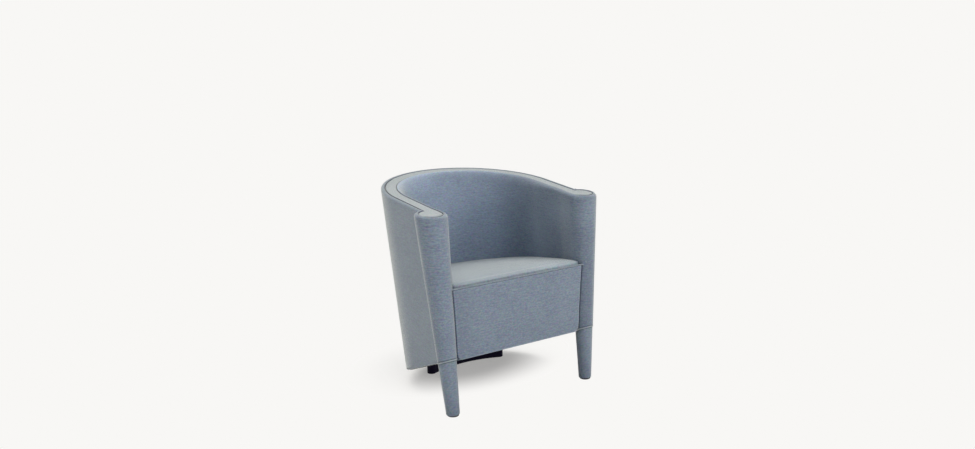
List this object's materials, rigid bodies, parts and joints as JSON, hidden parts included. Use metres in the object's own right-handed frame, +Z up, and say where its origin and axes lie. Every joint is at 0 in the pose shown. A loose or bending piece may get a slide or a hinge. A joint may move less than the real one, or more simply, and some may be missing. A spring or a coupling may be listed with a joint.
{
  "type": "armchair",
  "caption": "Upholstered tub armchair: a padded curved shell between raking tapered front columns that run down into the feet, a crowned sprung seat and a low curved plinth at the back.",
  "frame": {"origin": "on the floor, under the middle of the chair's bounding box", "axes": "+Z up, +Y from the open front to the back, X across the chair between the two columns"},
  "size_m": [0.7026, 0.6284, 0.7014],
  "materials": {
    "cover_cloth": "matte",
    "wadding": "matte",
    "foam": "matte",
    "plywood": "satin",
    "beech": "satin",
    "webbing": "matte",
    "dust_cloth": "matte",
    "plinth_lacquer": "satin",
    "glide_plastic": "matte",
    "felt": "matte",
    "screw_steel": "satin"
  },
  "bodies": {
    "root": {"outside_cover": "cover_cloth", "outer_wadding": "wadding", "plywood_shell": "plywood", "rim_rail": "beech", "inner_foam": "foam", "inside_cover": "cover_cloth", "rim_facing": "cover_cloth", "outer_rim_roll": "cover_cloth", "inner_rim_roll": "cover_cloth", "left_head_roll": "cover_cloth", "right_head_roll": "cover_cloth", "rail_dowels": "beech", "front_rail": "beech", "seat_rail": "beech", "lower_rail": "beech", "corner_blocks": "beech", "left_glide": "glide_plastic", "left_post": "beech", "left_leg_sleeve": "cover_cloth", "left_ring_welt": "cover_cloth", "left_column_pad": "foam", "left_column_cover": "cover_cloth", "left_column_welt": "cover_cloth", "right_glide": "glide_plastic", "right_post": "beech", "right_leg_sleeve": "cover_cloth", "right_ring_welt": "cover_cloth", "right_column_pad": "foam", "right_column_cover": "cover_cloth", "right_column_welt": "cover_cloth", "webbing_lengthways": "webbing", "webbing_across": "webbing", "seat_foam": "foam", "seat_cover": "cover_cloth", "front_panel": "cover_cloth", "front_panel_pad": "foam", "seat_piping": "cover_cloth", "plinth_screws": "screw_steel", "plinth_glides": "felt", "plinth": "plinth_lacquer", "base_board": "plywood", "dust_cover": "dust_cloth"}
  },
  "joints": []
}
